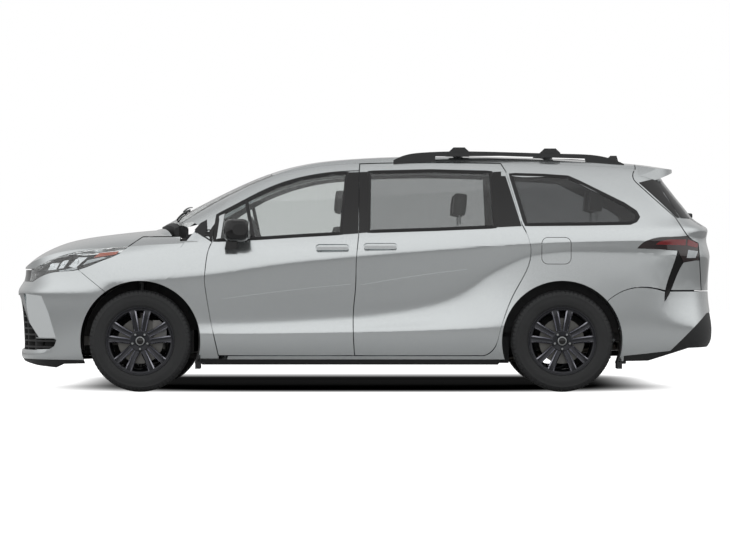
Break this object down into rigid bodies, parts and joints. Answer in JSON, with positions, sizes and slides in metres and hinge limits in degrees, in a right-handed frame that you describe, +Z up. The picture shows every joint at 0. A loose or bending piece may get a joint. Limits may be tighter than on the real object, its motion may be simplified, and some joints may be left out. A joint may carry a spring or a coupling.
{
  "type": "minivan",
  "caption": "Full-size three-row minivan with hinged front doors, bonnet and tailgate, steered front wheels, roof rails and cross bars.",
  "frame": {"origin": "on the floor, midway between the ends and the sides of the vehicle", "axes": "+X towards the tail, +Y towards the vehicle's right side, +Z up"},
  "size_m": [5.1636, 2.382, 1.7839],
  "materials": {
    "alloy": "dark gunmetal painted alloy",
    "black_trim": "black moulded plastic, satin",
    "chassis": "black chassis paint",
    "clear_lamp": "clear lamp lens",
    "exhaust_steel": "stainless steel, dull",
    "glass": "tinted safety glass",
    "gloss_black": "gloss black moulding",
    "interior": "dark interior plastic",
    "leather": "black seat leather",
    "paint": "light silver-grey metallic paint, gloss",
    "red_lamp": "red lamp lens",
    "steel": "cast and machined steel",
    "tyre": "black tyre rubber"
  },
  "bodies": {
    "body": {"antenna": "black_trim", "arch_liners": "black_trim", "body_side_left": "paint", "body_side_right": "paint", "corner_trims": "gloss_black", "cowl": "black_trim", "dashboard": "interior", "engine_block": "steel", "exhaust": "exhaust_steel", "front_axle": "chassis", "front_brow": "gloss_black", "front_bumper": "paint", "front_fender_left": "paint", "front_fender_right": "paint", "front_grille": "black_trim", "front_lower_trim": "black_trim", "front_seats": "leather", "fuel_tank": "chassis", "headlamps": "clear_lamp", "middle_seats": "leather", "mud_flaps": "black_trim", "quarter_glass": "glass", "rear_axle": "chassis", "rear_bench": "leather", "rear_bumper": "paint", "rear_lower_trim": "black_trim", "roof_panel": "paint", "roof_rails": "black_trim", "sill_mouldings": "black_trim", "sliding_door_glass": "glass", "sliding_door_left": "paint", "sliding_door_right": "paint", "tail_lamps": "red_lamp", "underbody": "chassis", "windscreen": "glass"},
    "front_door_left": {"front_door_glass_left": "glass", "front_door_left": "paint", "mirror_left": "gloss_black"},
    "front_door_right": {"front_door_glass_right": "glass", "front_door_right": "paint", "mirror_right": "gloss_black"},
    "hood": {"hood": "paint"},
    "knuckle_left": {"knuckle_left": "steel"},
    "knuckle_right": {"knuckle_right": "steel"},
    "tailgate": {"rear_spoiler": "paint", "tailgate": "paint", "tailgate_glass": "glass"},
    "steering_wheel": {"steering_wheel": "interior"},
    "wheel_front_left": {"tyre_front_left": "tyre", "wheel_front_left": "alloy"},
    "wheel_front_right": {"tyre_front_right": "tyre", "wheel_front_right": "alloy"},
    "wheel_rear_left": {"tyre_rear_left": "tyre", "wheel_rear_left": "alloy"},
    "wheel_rear_right": {"tyre_rear_right": "tyre", "wheel_rear_right": "alloy"}
  },
  "joints": [
    {"name": "steer_left", "type": "hinge", "parent": "body", "child": "knuckle_left", "pos_m": [-1.627, -0.775, 0.37], "axis": [0, 0.2419, 0.9703], "range_deg": [-35, 35]},
    {"name": "steer_right", "type": "hinge", "parent": "body", "child": "knuckle_right", "pos_m": [-1.627, 0.775, 0.37], "axis": [0, -0.2419, 0.9703], "range_deg": [-35, 35]},
    {"name": "wheel_front_left_spin", "type": "hinge", "parent": "knuckle_left", "child": "wheel_front_left", "pos_m": [-1.627, -0.86, 0.37], "axis": [0, 1, 0], "continuous": true},
    {"name": "wheel_rear_left_spin", "type": "hinge", "parent": "body", "child": "wheel_rear_left", "pos_m": [1.433, -0.86, 0.37], "axis": [0, 1, 0], "continuous": true},
    {"name": "front_door_left_hinge", "type": "hinge", "parent": "body", "child": "front_door_left", "pos_m": [-1.1, -0.957, 0.7], "axis": [0, 0, -1], "range_deg": [0, 70]},
    {"name": "wheel_front_right_spin", "type": "hinge", "parent": "knuckle_right", "child": "wheel_front_right", "pos_m": [-1.627, 0.86, 0.37], "axis": [0, 1, 0], "continuous": true},
    {"name": "wheel_rear_right_spin", "type": "hinge", "parent": "body", "child": "wheel_rear_right", "pos_m": [1.433, 0.86, 0.37], "axis": [0, 1, 0], "continuous": true},
    {"name": "front_door_right_hinge", "type": "hinge", "parent": "body", "child": "front_door_right", "pos_m": [-1.1, 0.957, 0.7], "axis": [0, 0, 1], "range_deg": [0, 70]},
    {"name": "hood_hinge", "type": "hinge", "parent": "body", "child": "hood", "pos_m": [-1.395, 0, 1.15], "axis": [0, 1, 0], "range_deg": [0, 50]},
    {"name": "tailgate_hinge", "type": "hinge", "parent": "body", "child": "tailgate", "pos_m": [1.985, 0, 1.673], "axis": [0, -1, 0], "range_deg": [0, 85]},
    {"name": "steering_wheel_turn", "type": "hinge", "parent": "body", "child": "steering_wheel", "pos_m": [-0.77, -0.372, 1.105], "axis": [0.9135, 0, 0.4067], "range_deg": [-500, 500]}
  ],
  "couplings": [
    {"joint": "steer_right", "follows": "steer_left", "ratio": 1},
    {"joint": "steering_wheel_turn", "follows": "steer_left", "ratio": 14}
  ]
}
